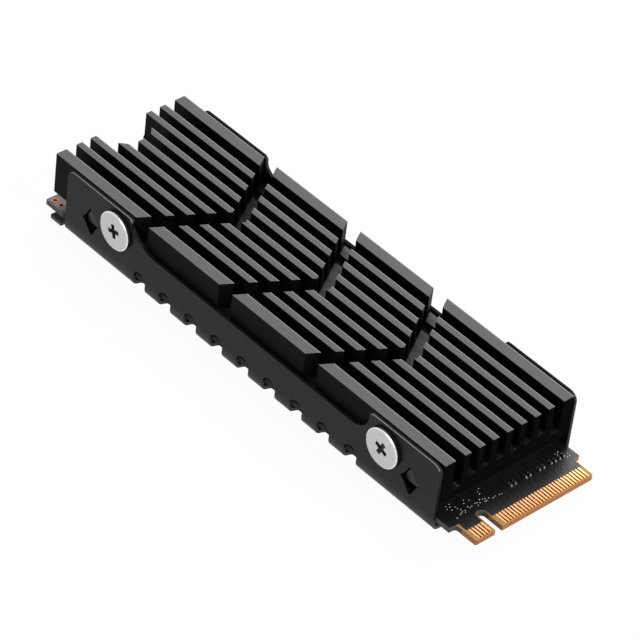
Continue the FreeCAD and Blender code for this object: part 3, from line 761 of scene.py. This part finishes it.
def softened(node: str, name: str, edge_mm: float, slot: str, *finishes: Finish) -> Item:
    """Stand in for a CAD node with the same form and slightly broken edges.

    Args:
        node: the CAD node.
        name: the new piece's name.
        edge_mm: the width of the break along its sharp edges.
        slot: the record's material slot.
        *finishes: its finishes, in the order of the mesh's material numbers.

    Returns:
        The piece that replaces the node.
    """
    low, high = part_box(node)
    work = merged(node)
    bmesh.ops.dissolve_limit(work, angle_limit=FLAT_RAD, verts=work.verts, edges=work.edges)
    blank = placed(name + "_blank", finished(name, work))
    bevel = blank.modifiers.new("broken_edges", "BEVEL")
    bevel.width = edge_mm * MM
    bevel.segments = 2
    bevel.limit_method = "ANGLE"
    bevel.angle_limit = SHARP_RAD
    shaped = baked(name, blank)
    for vertex in shaped.vertices:
        vertex.co = [min(max(c, lo), hi) for c, lo, hi in zip(vertex.co, low, high)]
    piece = put(name, shaped, slot, *finishes)
    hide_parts(node)
    return piece


def circle(x: float, y: float, z: float, radius: float, sides: int) -> list[Vector]:
    """Give the corners of a level round.

    Args:
        x, y, z: its centre, in millimetres.
        radius: its radius in millimetres; zero gives the centre alone.
        sides: how many corners it has.

    Returns:
        The corners in metres, anticlockwise.
    """
    turns = [math.tau * step / sides for step in range(sides if radius else 1)]
    return [Vector((x + radius * math.cos(t), y + radius * math.sin(t), z)) * MM for t in turns]


def skin(work: Work, rings: Sequence[Sequence]) -> list[bmesh.types.BMFace]:
    """Join level rings of points into one closed solid.

    Args:
        work: the mesh to add to.
        rings: the rings in metres, from the bottom up, each anticlockwise. A ring of one point
            is a tip.

    Returns:
        The solid's faces.
    """
    levels = [[work.verts.new(point) for point in ring] for ring in rings]
    outlines = [levels[-1], levels[0][::-1]]
    for low, high in zip(levels, levels[1:]):
        count = max(len(low), len(high))
        for step in range(count):
            after = (step + 1) % count
            corners = [low[step % len(low)], low[after % len(low)]]
            corners += [high[after % len(high)], high[step % len(high)]]
            outlines.append(list(dict.fromkeys(corners)))
    return [work.faces.new(outline) for outline in outlines if len(outline) > 2]


def add_box(work: Work, low: Sequence[float], high: Sequence[float], number: int = 0) -> None:
    """Add a box.

    Args:
        work: the mesh to add to.
        low: its lowest corner, in metres.
        high: its highest corner.
        number: the material number of its faces.
    """
    plan = ((low[0], low[1]), (high[0], low[1]), (high[0], high[1]), (low[0], high[1]))
    for face in skin(work, [[(x, y, z) for x, y in plan] for z in (low[2], high[2])]):
        face.material_index = number


# Sub-assemblies


@dataclass
class FinnedBlock:
    """The black aluminium extrusion over the chips, with painted glints by its sawn end."""

    edge_mm: float = 0.06
    # A face is sawn where its normal lies this near to the X axis
    sawn_from: float = 0.95
    # Length, width and height of each painted glint strip, and how far short of the end it stops
    glint_mm: Triple = (0.75, 0.11, 0.02)
    end_gap_mm: float = 0.08
    # Y and floor height of each painted glint strip
    painted_glints_mm: Sequence[Point] = (
        (-7.88, 5.5), (-5.42, 6.43), (-3.08, 6.43), (-0.74, 6.43), (1.6, 6.43), (3.94, 6.43),
        (6.28, 6.43),
    )

    def painted_glints(self) -> Mesh:
        """Make thin bright strips on the gaps' floors as painted glints.

        Returns:
            One mesh of them all.
        """
        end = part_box("heatsink_block")[1][0] - self.end_gap_mm * MM
        length, width, height = (size * MM for size in self.glint_mm)
        work = bmesh.new()
        for y, floor in self.painted_glints_mm:
            low = (end - length, y * MM - width / 2, floor * MM)
            add_box(work, low, (end, y * MM + width / 2, floor * MM + height))
        return finished("painted_glint_strips", work)

    def build(self) -> None:
        """Dress the block with lightly broken edges, matt ends and painted glints."""
        slot, finishes = "black_anodised_aluminium", (Finish.ANODISED, Finish.SAWN_END)
        block = softened("heatsink_block", "finned_extrusion", self.edge_mm, slot, *finishes)
        for face in block.data.polygons:
            face.material_index = int(abs(face.normal.x) > self.sawn_from)
        # Painted glints at the foot of the fins by the sawn end
        put("painted_glint_strips", self.painted_glints(), slot, Finish.PAINTED_GLINT)


@dataclass
class FoldedTray:
    """The folded sheet tray under the board, with a painted highlight on its ears' outer upper
    edges.
    """

    outer_half_mm: float = 11.48
    edge_from_mm: float = 9.7
    edge_mm: float = 0.09
    bend_mm: float = 1.2
    # Edges stay round up to these turns, in degrees, in the bends and elsewhere
    round_deg: Point = (30.0, 3.0)

    def highlighted_edges(self, work: Work) -> list[bmesh.types.BMEdge]:
        """Find the outer upper edges of the ears.

        Args:
            work: the tray's mesh.

        Returns:
            The sharp edges high up on the outer faces of the two walls.
        """
        reach, low = (self.outer_half_mm - 0.01) * MM, self.edge_from_mm * MM
        return [
            edge
            for edge in work.edges
            if edge.is_manifold
            and edge.calc_face_angle() > SHARP_RAD
            and all(abs(vertex.co.y) > reach and vertex.co.z > low for vertex in edge.verts)
        ]

    def keep_flats_flat(self, work: Work) -> None:
        """Shade the two bends round and everything else flat, the slightly tilted tabs too.

        Args:
            work: the tray's mesh.
        """
        inner, top = (self.outer_half_mm - self.bend_mm) * MM, self.bend_mm * MM
        in_bend, elsewhere = (math.radians(turn) for turn in self.round_deg)
        for face in work.faces:
            face.smooth = True
        for edge in work.edges:
            centres = [face.calc_center_median() for face in edge.link_faces]
            not_underside = all(abs(centre.y) > inner and centre.z < top for centre in centres)
            edge.smooth = edge.calc_face_angle(math.pi) < (in_bend if not_underside else elsewhere)

    def build(self) -> None:
        """Dress the tray in its coat and break the ears' upper edges, which take a painted
        highlight.
        """
        work = merged("bottom_tray")
        for face in work.faces:
            face.material_index = 0
        # The broken edges take the second finish, a painted highlight
        bmesh.ops.bevel(
            work,
            geom=self.highlighted_edges(work),
            offset=self.edge_mm * MM,
            offset_type="OFFSET",
            segments=1,
            affect="EDGES",
            material=1,
            clamp_overlap=False,
        )
        self.keep_flats_flat(work)
        finishes = (Finish.COATED_SHEET, Finish.EDGE_HIGHLIGHT)
        piece = put("folded_tray", finished("folded_tray", work), "black_coated_sheet", *finishes)
        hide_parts("bottom_tray")


@dataclass
class SideScrews:
    """Four wafer-head screws, each with a chamfered rim and a cross recess."""

    places_mm: Sequence[float] = (-25.55, 24.75)
    height_mm: float = 6.85
    wall_mm: float = 11.48
    head_radius_mm: float = 2.75
    head_mm: float = 0.6
    shank_radius_mm: float = 1.0
    shank_mm: float = 2.18
    sides: int = 96
    chamfer_mm: float = 0.18
    chamfer_drop_mm: float = 0.11
    cross_span_mm: float = 2.12
    cross_width_mm: float = 0.64
    cross_depth_mm: float = 0.38
    turns_deg: Sequence[float] = (15.0, -25.0)
    # Edges of the head stay round up to this turn
    round_deg: float = 24.0

    def shape(self) -> Mesh:
        """Turn the screw from the tip of its shank to the middle of its head.

        Returns:
            The screw's mesh, upright, its head's underside at zero.
        """
        head, top, rim = self.head_radius_mm, self.head_mm, self.head_mm - self.chamfer_drop_mm
        profile = (
            (0, -self.shank_mm),
            (self.shank_radius_mm - 0.2, -self.shank_mm),
            (self.shank_radius_mm, 0.2 - self.shank_mm),
            (self.shank_radius_mm, 0.0),
            (head - 0.04, 0.0),
            (head, 0.04),
            (head, rim - 0.03),
            (head - 0.02, rim),
            (head - self.chamfer_mm, top - 0.015),
            (head - self.chamfer_mm - 0.04, top),
            (0, top),
        )
        work = bmesh.new()
        skin(work, [circle(0, 0, height, radius, self.sides) for radius, height in profile])
        return finished("screw_blank", work)

    def cross(self) -> Mesh:
        """Make the tapered cutter of the cross recess.

        Returns:
            The cutter's mesh.
        """
        arm, half = self.cross_span_mm / 2, self.cross_width_mm / 2
        outline = (
            (arm, -half), (arm, half), (half, half), (half, arm), (-half, arm), (-half, half),
            (-arm, half), (-arm, -half), (-half, -half), (-half, -arm), (half, -arm), (half, -half),
        )
        levels = ((self.head_mm - self.cross_depth_mm, 0.7), (self.head_mm + 0.1, 1.04))
        rings = [[Vector((x * s, y * s, z)) * MM for x, y in outline] for z, s in levels]
        work = bmesh.new()
        skin(work, rings)
        return finished("cross_cutter", work)

    def mark_faces(self, mesh: Mesh) -> None:
        """Number the faces: 1, painted shade, in the cross recess and round the head's side; 2 on
        its chamfer.

        Args:
            mesh: the screw's mesh.
        """
        reach, top = self.cross_span_mm / 2 + 0.02, self.head_mm - 0.01
        side, rim = self.head_radius_mm - 0.03, self.head_mm - self.chamfer_drop_mm - 0.02
        chamfer = self.head_radius_mm - self.chamfer_mm
        for face in mesh.polygons:
            centre = face.center / MM
            away = math.hypot(centre.x, centre.y)
            if (away < reach and 0 < centre.z < top) or (away > side and centre.z < rim):
                face.material_index = 1
            elif away > chamfer and centre.z > rim:
                face.material_index = 2
            else:
                face.material_index = 0

    def build(self) -> None:
        """Make one screw, cut its recess, and set four of them into the tray's ears."""
        body = placed("screw_blank", self.shape())
        cutter = placed("screw_cutter", self.cross())
        cut = body.modifiers.new("recess", "BOOLEAN")
        cut.object = cutter
        cut.operation = "DIFFERENCE"
        cut.solver = "EXACT"
        shaped = baked("screw", body, cutter)
        self.mark_faces(shaped)
        shaped.shade_smooth()
        shaped.set_sharp_from_angle(angle=math.radians(self.round_deg))
        # The second finish is painted shade in the recess and round the head's side
        finishes = (Finish.NICKEL, Finish.PAINTED_SHADE, Finish.BRIGHT_RIM)
        first = None
        for side, sign in (("front", -1), ("back", 1)):
            for end, x, turn in zip(("left", "right"), self.places_mm, self.turns_deg):
                mesh = shaped.copy()
                spin = Matrix.Rotation(math.radians(turn), 4, "Z")
                face = Matrix.Rotation(math.radians(-90 * sign), 4, "X")
                spot = Vector((x, self.wall_mm * sign, self.height_mm)) * MM
                mesh.transform(Matrix.Translation(spot) @ face @ spin)
                piece = put(f"{side}_{end}_screw", mesh, "nickel_plated_steel", *finishes)
                first = first or piece
        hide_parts("side_screws")


@dataclass
class CardEdge:
    """The board, its gold contacts and the small parts behind them."""

    top_mm: float = 2.15
    board_mm: float = 0.8
    edge_mm: float = 0.03
    pitch_mm: float = 0.5
    finger_mm: Triple = (1.85, 0.27, 0.035)
    # Radius of a contact's corners as a share of its width, and the steps round each
    finger_round: float = 0.42
    corner_steps: int = 5
    finger_x_mm: float = 38.925
    places: int = 38
    top_places: Sequence[int] = (*range(0, 29), *range(33, 38))
    bottom_places: Sequence[int] = (*range(0, 29), *range(33, 37))
    capacitor_end_mm: Point = (0.1, 0.07)
    # Radius, rise and depth of each plug
    plug_mm: Triple = (0.3, 0.03, 0.3)
    plug_sides: int = 24
    dot_mm: float = 0.07
    dot_sides: int = 10
    # X and Y of the small solder ends behind the contacts, row by row
    dots_mm: Sequence[Point] = (
        (35.35, 10.0), (35.75, 10.0), (34.95, 9.4), (34.8, 8.9), (34.5, 9.2), (34.5, 8.7),
        (35.8, 9.6), (35.8, -1.65), (35.73, -2.0), (35.65, -2.6), (35.73, -3.0), (35.4, -3.45),
        (35.6, -4.0), (35.2, -3.9), (35.15, -4.25), (35.6, -4.25), (34.95, -4.6), (35.4, -4.9),
        (35.2, -5.25), (35.15, -5.55), (35.6, -5.4), (35.25, -6.15), (35.35, -6.5), (35.05, -6.65),
        (35.3, -7.3), (35.6, -7.5), (34.9, -7.65), (35.25, -7.7), (34.55, -7.85), (34.2, -7.9),
        (35.4, -7.95), (35.5, -8.3), (34.35, -8.6), (33.8, -8.4), (33.9, -9.0), (33.5, -8.85),
        (35.75, -9.05), (34.3, -5.7), (33.9, -6.25), (34.35, -6.65), (33.5, -3.35), (33.85, -3.85),
        (34.25, -3.9), (33.4, -8.2),
    )

    def fingers(self, name: str, rows: Sequence[float], low_mm: float) -> Mesh:
        """Make contacts with rounded ends.

        Args:
            name: the mesh's name.
            rows: each contact's place across the board, in millimetres.
            low_mm: the height of their underside.

        Returns:
            One mesh of all the contacts.
        """
        length, width, thick = self.finger_mm
        corner = width * self.finger_round
        work = bmesh.new()
        for row in rows:
            outline = []
            for quarter, (sx, sy) in enumerate(((1, -1), (1, 1), (-1, 1), (-1, -1))):
                cx = self.finger_x_mm + sx * (length / 2 - corner)
                cy = row + sy * (width / 2 - corner)
                for step in range(self.corner_steps + 1):
                    angle = math.radians(-90 + 90 * (quarter + step / self.corner_steps))
                    outline.append((cx + corner * math.cos(angle), cy + corner * math.sin(angle)))
            levels = (low_mm, low_mm + thick)
            skin(work, [[Vector((x, y, z)) * MM for x, y in outline] for z in levels])
        return finished(name, work)

    def capacitors(self) -> Mesh:
        """Make the chip capacitors: a ceramic body between two bright ends.

        Returns:
            One mesh; its bodies have the first material number and its ends the second.
        """
        source = merged("coupling_capacitors")
        rows = sorted({round(vertex.co.y / MM, 3) for vertex in source.verts})
        source.free()
        low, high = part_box("coupling_capacitors")
        end, inset = (value * MM for value in self.capacitor_end_mm)
        runs = (
            (low[0], low[0] + end, inset, 1),
            (low[0] + end, high[0] - end, 0.0, 0),
            (high[0] - end, high[0], inset, 1),
        )
        work = bmesh.new()
        for near, far in zip(rows[::2], rows[1::2]):
            for start, stop, shrink, number in runs:
                corner = (stop, far * MM - shrink, high[2] - shrink)
                add_box(work, (start, near * MM + shrink, low[2]), corner, number)
        return finished("coupling_chips", work)

    def plugs(self) -> Mesh:
        """Make the low domes of resin that close the two corner test holes.

        Returns:
            One mesh; each dome has its own material number.
        """
        low, high = ([value / MM for value in corner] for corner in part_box("corner_test_pads"))
        middle, half = (low[1] + high[1]) / 2, (high[1] - low[1]) / 2
        radius, rise, depth = self.plug_mm
        dome = ((1.0, -depth), (1.0, 0.0), (0.8, 0.5 * rise), (0.4, rise))
        work = bmesh.new()
        for number, x in enumerate((low[0] + half, high[0] - half)):
            rings = [
                circle(x, middle, low[2] + height, radius * share, self.plug_sides)
                for share, height in dome
            ]
            for face in skin(work, rings):
                face.material_index = number
        return finished("corner_hole_plugs", work)

    def solder(self) -> Mesh:
        """Make the bright solder ends of the small parts as low domes.

        Returns:
            One mesh of them all.
        """
        radius, dome = self.dot_mm, ((1.0, 0.0), (0.85, 0.55), (0.45, 0.9))
        work = bmesh.new()
        for x, y in self.dots_mm:
            rings = [
                circle(x, y, self.top_mm + radius * height, radius * share, self.dot_sides)
                for share, height in dome
            ]
            skin(work, rings)
        return finished("solder_ends", work)

    def build(self) -> None:
        """Dress the board and replace both rows of contacts."""
        softened("circuit_board", "drive_board", self.edge_mm, "black_board", Finish.BOARD)
        middle = (self.places - 1) / 2
        upper = [self.pitch_mm * (middle - place) for place in self.top_places]
        lower = [self.pitch_mm * (middle - place - 0.5) for place in self.bottom_places]
        under = self.top_mm - self.board_mm - self.finger_mm[2]
        faces = (
            ("upper_fingers", upper, self.top_mm, "top_contacts"),
            ("lower_fingers", lower, under, "bottom_contacts"),
        )
        for name, rows, low, node in faces:
            piece = put(name, self.fingers(name, rows, low), "gold_plating", Finish.GOLD)
            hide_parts(node)
        put("solder_ends", self.solder(), "tinned_copper", Finish.SOLDER)
        put("corner_hole_plugs", self.plugs(), "black_board", Finish.PLUG, Finish.DARKER_PLUG)
        chips = put("coupling_chips", self.capacitors(), "ceramic", Finish.CERAMIC, Finish.SOLDER)
        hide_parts("coupling_capacitors")
        dress(Finish.GOLD, "mounting_pads")
        dress(Finish.TINNED, "corner_test_pads")


@dataclass
class InnerPieces:
    """The pads and chips inside the clamp, seen only through its openings."""

    chips: Sequence[str] = (
        "controller_chip", "memory_chip", "flash_chips", "power_chip", "load_switches"
    )

    def build(self) -> None:
        """Give each its finish."""
        dress(Finish.PAD, "upper_thermal_pad", "lower_thermal_pad")
        dress(Finish.RESIN, *self.chips)
        dress(Finish.FERRITE, "power_inductors")
        dress(Finish.CAN, "clock_crystal")
        dress(Finish.CERAMIC, "bulk_capacitors", "chip_capacitors")
        dress(Finish.GLAZE, "chip_resistors")


# Studio


def seen_directly(tree: Tree) -> Socket:
    """Tell rays that show the surroundings, straight or in a gloss, from those that light.

    Args:
        tree: the node tree to add to.

    Returns:
        An output that is one for the first and zero for the others.
    """
    path = add_node(tree, "LightPath")
    kinds = {0: path.outputs["Is Camera Ray"], 1: path.outputs["Is Glossy Ray"]}
    return add_node(tree, "Math", kinds, operation="MAXIMUM").outputs[0]


@dataclass
class Studio:
    """A white sweep, soft lamps and the photograph's camera."""

    camera_mm: Triple = (256.22, -270.70, 315.41)
    camera_deg: Triple = (49.8950, -5.6107, 48.0538)
    lens_mm: float = 217.90
    sensor_mm: float = 36.0
    clip_m: Point = (0.01, 100.0)
    floor_m: float = 6.0
    # The floor lies this far under the tray, so that their faces do not coincide
    floor_drop_mm: float = 0.02
    paper: str = "#f4f4f4"
    floor_white: float = 0.965
    ambient: float = 0.22
    # Name, place and aim in metres, size in metres, watts
    lamps: Sequence[tuple] = (
        ("overhead_softbox", (-0.26, 0.28, 0.44), (0, 0, 0), 0.5, 3.4),
        ("contact_end_softbox", (0.5, 0.15, 0.22), (0.03, 0, 0), 0.4, 3.0),
        ("low_front_softbox", (0.05, -0.55, 0.12), (0.02, 0, 0), 0.4, 1.8),
    )

    def add_camera(self) -> None:
        """Set the camera where the photograph was taken from."""
        data = bpy.data.cameras.new("photo_camera")
        data.sensor_width = self.sensor_mm
        data.lens = self.lens_mm
        data.clip_start, data.clip_end = self.clip_m
        camera = placed("photo_camera", data)
        camera.location = Vector(self.camera_mm) * MM
        camera.rotation_euler = Euler([math.radians(angle) for angle in self.camera_deg])
        bpy.context.scene.camera = camera

    def add_floor(self) -> None:
        """Lay a white floor that keeps a faint shadow of the object."""
        half, level = self.floor_m / 2, -self.floor_drop_mm * MM
        mesh = bpy.data.meshes.new("white_floor")
        corners = [(x * half, y * half, level) for x, y in ((-1, -1), (1, -1), (1, 1), (-1, 1))]
        mesh.from_pydata(corners, [], [(0, 1, 2, 3)])
        material, tree = new_material("white_paper_floor")
        paper = add_node(tree, "BsdfDiffuse", {"Color": linear(self.paper)})
        glow = add_node(tree, "Emission", {"Color": (1, 1, 1, 1), "Strength": 1.0})
        white = {0: seen_directly(tree), 1: self.floor_white}
        share = add_node(tree, "Math", white, operation="MULTIPLY")
        layers = {0: share.outputs[0], 1: paper.outputs[0], 2: glow.outputs[0]}
        mixed = add_node(tree, "MixShader", layers)
        add_node(tree, "OutputMaterial", {"Surface": mixed.outputs[0]})
        mesh.materials.append(material)
        floor = placed("white_floor", mesh)

    def add_world(self) -> None:
        """Fill the room with even light, white where the camera sees it."""
        world = bpy.data.worlds.new("white_room")
        bpy.context.scene.world = world
        world.use_nodes = True
        tree = world.node_tree
        tree.nodes.clear()
        levels = {"Value": seen_directly(tree), "To Min": self.ambient, "To Max": 1.0}
        strength = add_node(tree, "MapRange", levels).outputs[0]
        sky = add_node(tree, "Background", {"Color": (1, 1, 1, 1), "Strength": strength})
        add_node(tree, "OutputWorld", {"Surface": sky.outputs[0]})

    def add_lamps(self) -> None:
        """Hang the soft lamps."""
        for name, spot, aim, size, watts in self.lamps:
            data = bpy.data.lights.new(name, "AREA")
            data.shape = "SQUARE"
            data.size = size
            data.energy = watts
            lamp = placed(name, data)
            lamp.location = spot
            direction = Vector(aim) - Vector(spot)
            lamp.rotation_euler = direction.to_track_quat("-Z", "Y").to_euler()

    def build(self) -> None:
        """Set up the whole studio."""
        bpy.context.scene.view_settings.view_transform = "Standard"
        self.add_camera()
        self.add_floor()
        self.add_world()
        self.add_lamps()


def main() -> None:
    """Build every sub-assembly and the studio."""
    logging.basicConfig(level=logging.INFO, format="%(name)s %(message)s")
    for part in (FinnedBlock(), FoldedTray(), SideScrews(), CardEdge(), InnerPieces(), Studio()):
        part.build()
        LOG.info("%s done", type(part).__name__)


if __name__ == "__main__":
    main()
